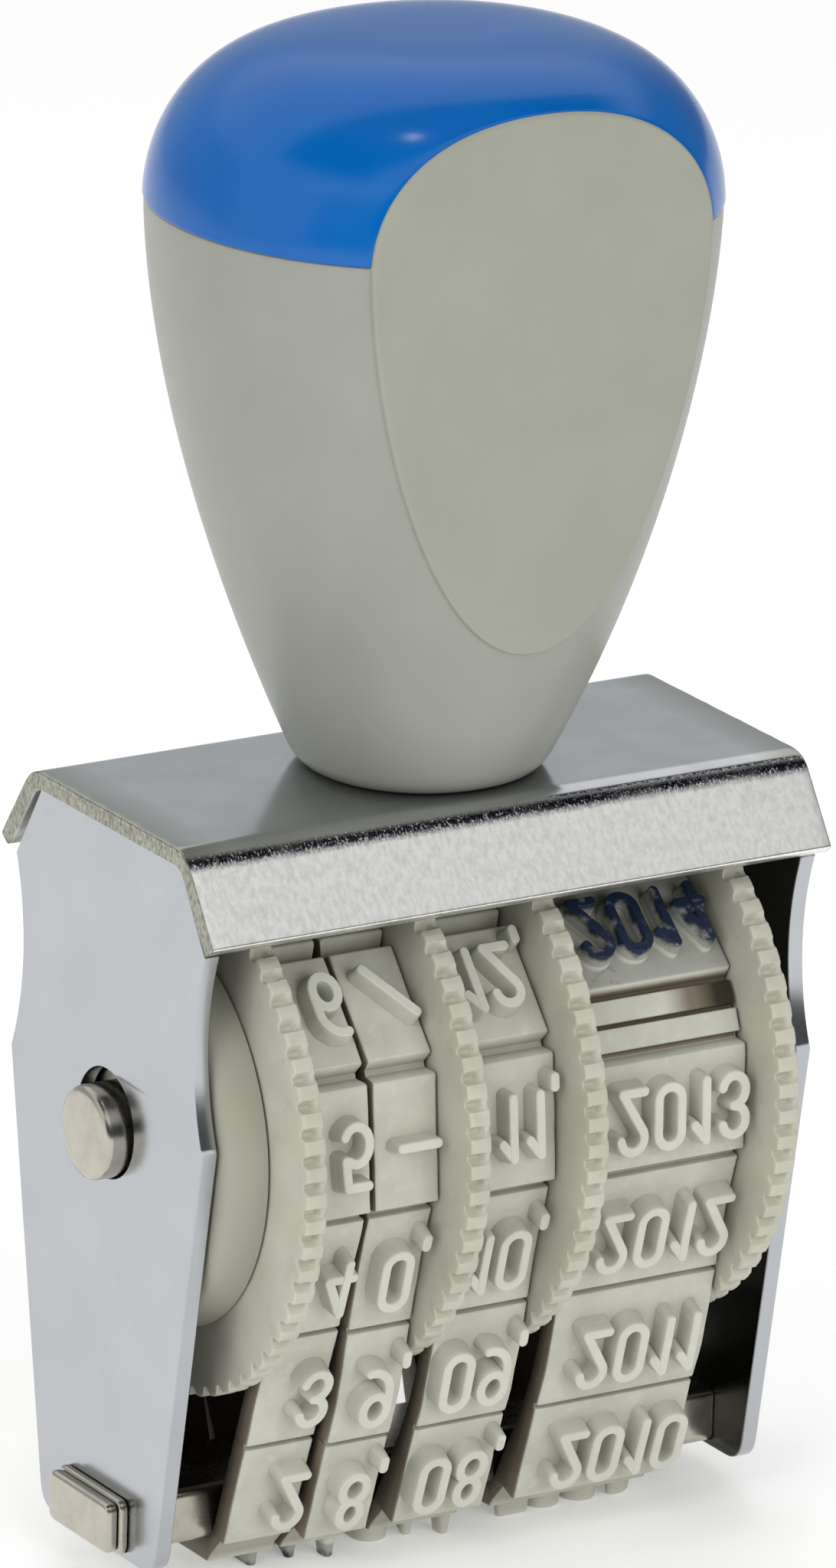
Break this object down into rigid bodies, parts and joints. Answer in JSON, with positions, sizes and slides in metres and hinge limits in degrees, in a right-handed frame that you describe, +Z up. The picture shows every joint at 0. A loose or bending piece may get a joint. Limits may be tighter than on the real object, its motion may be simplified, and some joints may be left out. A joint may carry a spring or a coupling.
{
  "type": "date stamp",
  "caption": "Hand date stamp: bulb handle on a sheet-metal frame, toothed thumbwheels on one axle turning rubber type bands round a bridge bar.",
  "frame": {"origin": "on the paper, under the middle of the printing faces", "axes": "+X along the wheel axle, to the right of a person who reads the wheels; +Y to the rear; +Z up through the handle"},
  "size_m": [0.0418, 0.0308, 0.0862],
  "materials": {
    "zinc_steel": "zinc-plated sheet, satin",
    "bright_steel": "nickel-plated, polished",
    "grey_plastic": "moulded, satin gloss",
    "blue_plastic": "moulded, glossy",
    "label_plastic": "fine grained, satin",
    "wheel_plastic": "moulded, matt",
    "type_rubber": "vulcanised, matt"
  },
  "bodies": {
    "root": {"frame": "zinc_steel", "top_cover": "zinc_steel", "handle_body": "grey_plastic", "handle_cap": "blue_plastic", "front_label_plate": "label_plastic", "rear_label_plate": "label_plastic", "handle_screw": "bright_steel", "left_spacer_disc": "wheel_plastic", "right_spacer": "wheel_plastic", "bridge_bar": "bright_steel", "bridge_clip_left": "bright_steel", "bridge_clip_right": "bright_steel", "day_tens_band": "type_rubber", "day_units_band": "type_rubber", "month_band": "type_rubber", "year_band": "type_rubber"},
    "axle": {"axle": "bright_steel", "axle_ring_left": "bright_steel", "axle_ring_right": "bright_steel"},
    "day_tens_wheel": {"day_tens_wheel": "wheel_plastic"},
    "day_units_wheel": {"day_units_wheel": "wheel_plastic"},
    "month_wheel": {"month_wheel": "wheel_plastic"},
    "year_wheel": {"year_wheel": "wheel_plastic"}
  },
  "joints": [
    {"name": "axle_spin", "type": "hinge", "parent": "root", "child": "axle", "pos_m": [0, 0, 0.02641], "axis": [1, 0, 0], "continuous": true},
    {"name": "day_tens_wheel_turn", "type": "hinge", "parent": "root", "child": "day_tens_wheel", "pos_m": [0, 0, 0.02641], "axis": [1, 0, 0], "continuous": true},
    {"name": "day_units_wheel_turn", "type": "hinge", "parent": "root", "child": "day_units_wheel", "pos_m": [0, 0, 0.02641], "axis": [1, 0, 0], "continuous": true},
    {"name": "month_wheel_turn", "type": "hinge", "parent": "root", "child": "month_wheel", "pos_m": [0, 0, 0.02641], "axis": [1, 0, 0], "continuous": true},
    {"name": "year_wheel_turn", "type": "hinge", "parent": "root", "child": "year_wheel", "pos_m": [0, 0, 0.02641], "axis": [1, 0, 0], "continuous": true}
  ]
}
